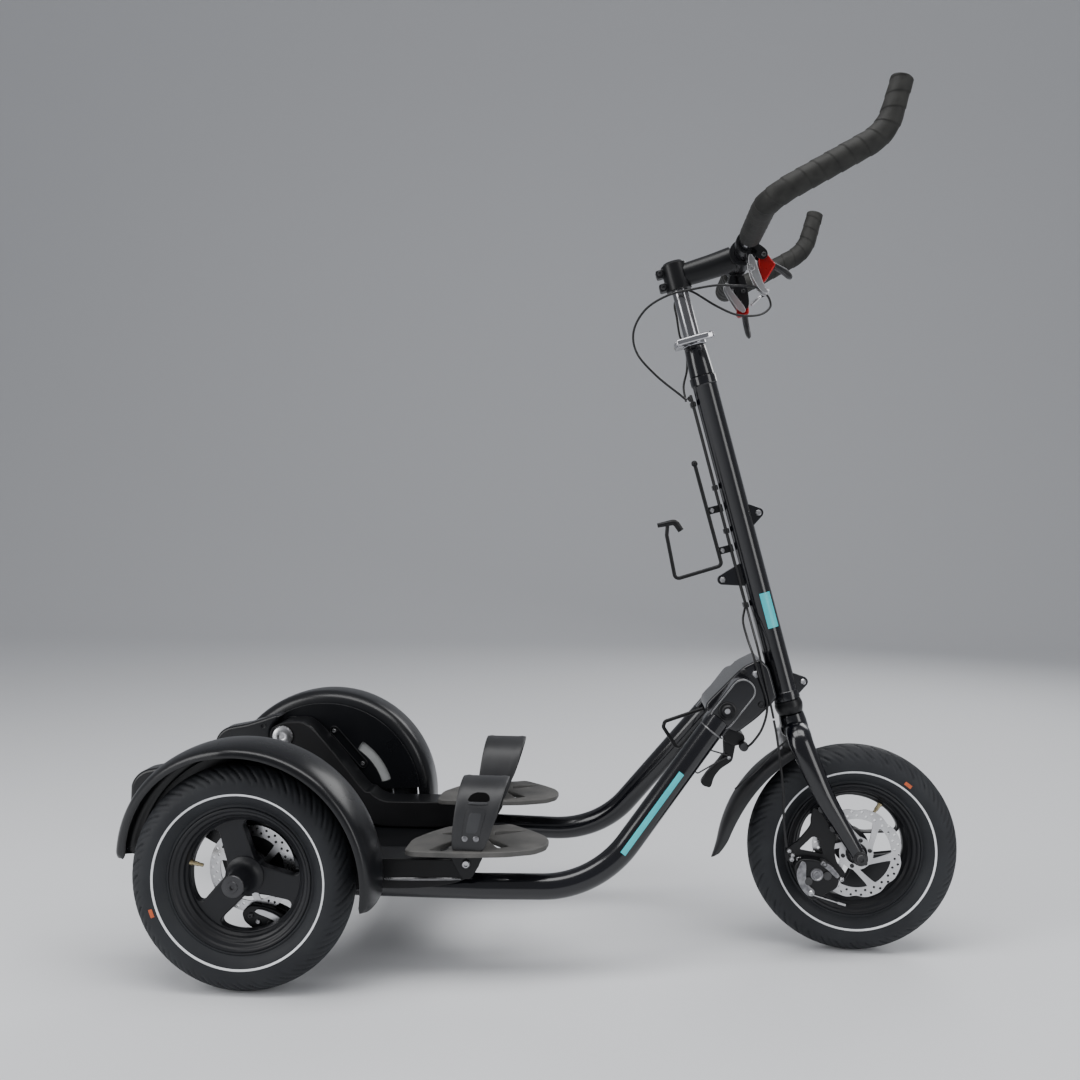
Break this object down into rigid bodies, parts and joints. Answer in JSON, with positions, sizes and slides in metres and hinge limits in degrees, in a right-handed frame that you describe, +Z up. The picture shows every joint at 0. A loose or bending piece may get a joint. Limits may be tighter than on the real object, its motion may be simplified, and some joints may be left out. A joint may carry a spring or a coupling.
{
  "type": "stepper scooter",
  "caption": "Folding stepper scooter with a wide rear track, moulded wheels, hinged foot arms with strapped pedals, a tall telescopic steering column and a bullhorn handlebar",
  "frame": {"origin": "on the ground under the middle of the bounding box", "axes": "+X is forward, +Y is the rider's left, +Z is up"},
  "size_m": [1.2433, 0.585, 1.2374],
  "materials": {
    "gloss_black": "high-gloss black paint",
    "satin_black": "satin black paint",
    "fender_plastic": "satin black moulded plastic",
    "wheel_nylon": "moulded charcoal nylon",
    "tyre_rubber": "charcoal tyre rubber",
    "bare_steel": "bare bright steel",
    "polished_steel": "polished post",
    "bar_tape": "cork-grained dark grey tape",
    "strap_rubber": "moulded dark grey rubber",
    "pedal_plastic": "grained grey non-slip plate",
    "lever_red": "red anodised and polished aluminium",
    "hose": "black plastic sleeve"
  },
  "bodies": {
    "frame": {"frame_rail_right": "gloss_black", "frame_rail_left": "gloss_black", "fold_bolt": "bare_steel", "rear_axle_beam": "satin_black", "cross_brace": "satin_black", "rear_axle_right": "bare_steel", "rear_axle_left": "bare_steel", "fender_right": "fender_plastic", "fender_left": "fender_plastic", "pivot_cover_right": "fender_plastic", "pivot_cover_left": "fender_plastic", "arm_pivot_pin_right": "bare_steel", "arm_pivot_pin_left": "bare_steel", "rear_caliper_right": "satin_black", "rear_caliper_left": "satin_black"},
    "column": {"head_tube": "gloss_black", "hinge_block": "satin_black", "lower_headset_cup": "satin_black", "bottle_cage": "satin_black", "lock_barrel": "satin_black", "rear_brake_hose": "hose", "front_brake_hose": "hose"},
    "steering": {"steerer_tube": "gloss_black", "clamp_collar": "bare_steel", "fork": "gloss_black", "front_axle": "bare_steel", "front_caliper": "satin_black", "front_fender": "fender_plastic", "front_brake_hose_lower": "hose"},
    "handlebars": {"handlebar_post": "polished_steel", "stem": "satin_black", "handlebar": "bare_steel", "taped_horn_right": "bar_tape", "taped_horn_left": "bar_tape", "brake_perch_right": "satin_black", "brake_perch_left": "satin_black", "brake_hose_upper_right": "hose", "brake_hose_upper_left": "hose"},
    "clamp_lever": {"clamp_lever": "bare_steel"},
    "brake_lever_right": {"brake_lever_right": "lever_red"},
    "brake_lever_left": {"brake_lever_left": "lever_red"},
    "front_wheel": {"front_tyre": "tyre_rubber", "front_wheel": "wheel_nylon", "front_rotor": "bare_steel"},
    "rear_wheel_right": {"rear_tyre_right": "tyre_rubber", "rear_wheel_right": "wheel_nylon", "rear_rotor_right": "bare_steel"},
    "rear_wheel_left": {"rear_tyre_left": "tyre_rubber", "rear_wheel_left": "wheel_nylon", "rear_rotor_left": "bare_steel"},
    "pedal_arm_right": {"pedal_arm_right": "satin_black"},
    "pedal_arm_left": {"pedal_arm_left": "satin_black"},
    "pedal_right": {"pedal_right": "pedal_plastic", "pedal_bracket_right": "satin_black", "foot_strap_right": "strap_rubber"},
    "pedal_left": {"pedal_left": "pedal_plastic", "pedal_bracket_left": "satin_black", "foot_strap_left": "strap_rubber"},
    "lock_lever": {"lock_lever": "satin_black"},
    "catch_loop": {"catch_loop": "satin_black"}
  },
  "joints": [
    {"name": "fold", "type": "hinge", "parent": "frame", "child": "column", "pos_m": [0.2606, 0, 0.38], "axis": [0, -1, 0], "range_deg": [0, 75]},
    {"name": "steer", "type": "hinge", "parent": "column", "child": "steering", "pos_m": [0.3705, 0, 0.35309], "axis": [-0.2605, 0, 0.9655], "range_deg": [-38, 38]},
    {"name": "post_height", "type": "slide", "parent": "steering", "child": "handlebars", "axis": [-0.2605, 0, 0.9655], "range_m": [-0.06, 0.1]},
    {"name": "clamp_lever_cam", "type": "hinge", "parent": "steering", "child": "clamp_lever", "pos_m": [0.1865, -0.0262, 0.94096], "axis": [0.2605, 0, -0.9655], "range_deg": [0, 110]},
    {"name": "brake_lever_right_pull", "type": "hinge", "parent": "handlebars", "child": "brake_lever_right", "pos_m": [0.30712, -0.069, 1.06247], "axis": [0, -1, 0], "range_deg": [0, 16], "stiffness_Nm_per_rad": 1, "springref_deg": -5.73},
    {"name": "brake_lever_left_pull", "type": "hinge", "parent": "handlebars", "child": "brake_lever_left", "pos_m": [0.29473, 0.069, 1.04063], "axis": [0, -1, 0], "range_deg": [0, 16], "stiffness_Nm_per_rad": 1, "springref_deg": -5.73},
    {"name": "front_wheel_spin", "type": "hinge", "parent": "steering", "child": "front_wheel", "pos_m": [0.4616, 0, 0.16], "axis": [0, 1, 0], "continuous": true},
    {"name": "rear_wheel_right_spin", "type": "hinge", "parent": "frame", "child": "rear_wheel_right", "pos_m": [-0.4274, -0.2208, 0.16], "axis": [0, 1, 0], "continuous": true},
    {"name": "rear_wheel_left_spin", "type": "hinge", "parent": "frame", "child": "rear_wheel_left", "pos_m": [-0.4274, 0.2208, 0.16], "axis": [0, 1, 0], "continuous": true},
    {"name": "lock_lever_release", "type": "hinge", "parent": "column", "child": "lock_lever", "pos_m": [0.2706, 0, 0.296], "axis": [0, 1, 0], "range_deg": [0, 50]},
    {"name": "catch_loop_lift", "type": "hinge", "parent": "column", "child": "catch_loop", "pos_m": [0.2306, 0, 0.37], "axis": [0, 1, 0], "range_deg": [0, 20]},
    {"name": "pedal_arm_right_lift", "type": "hinge", "parent": "frame", "child": "pedal_arm_right", "pos_m": [-0.487, -0.148, 0.2855], "axis": [0, -1, 0], "range_deg": [0, 28]},
    {"name": "pedal_right_tilt", "type": "hinge", "parent": "pedal_arm_right", "child": "pedal_right", "pos_m": [-0.1184, -0.148, 0.1733], "axis": [0, -1, 0], "range_deg": [-10, 5]},
    {"name": "pedal_arm_left_lift", "type": "hinge", "parent": "frame", "child": "pedal_arm_left", "pos_m": [-0.487, 0.148, 0.2855], "axis": [0, -1, 0], "range_deg": [0, 28]},
    {"name": "pedal_left_tilt", "type": "hinge", "parent": "pedal_arm_left", "child": "pedal_left", "pos_m": [-0.1184, 0.148, 0.1733], "axis": [0, -1, 0], "range_deg": [-10, 5]}
  ]
}
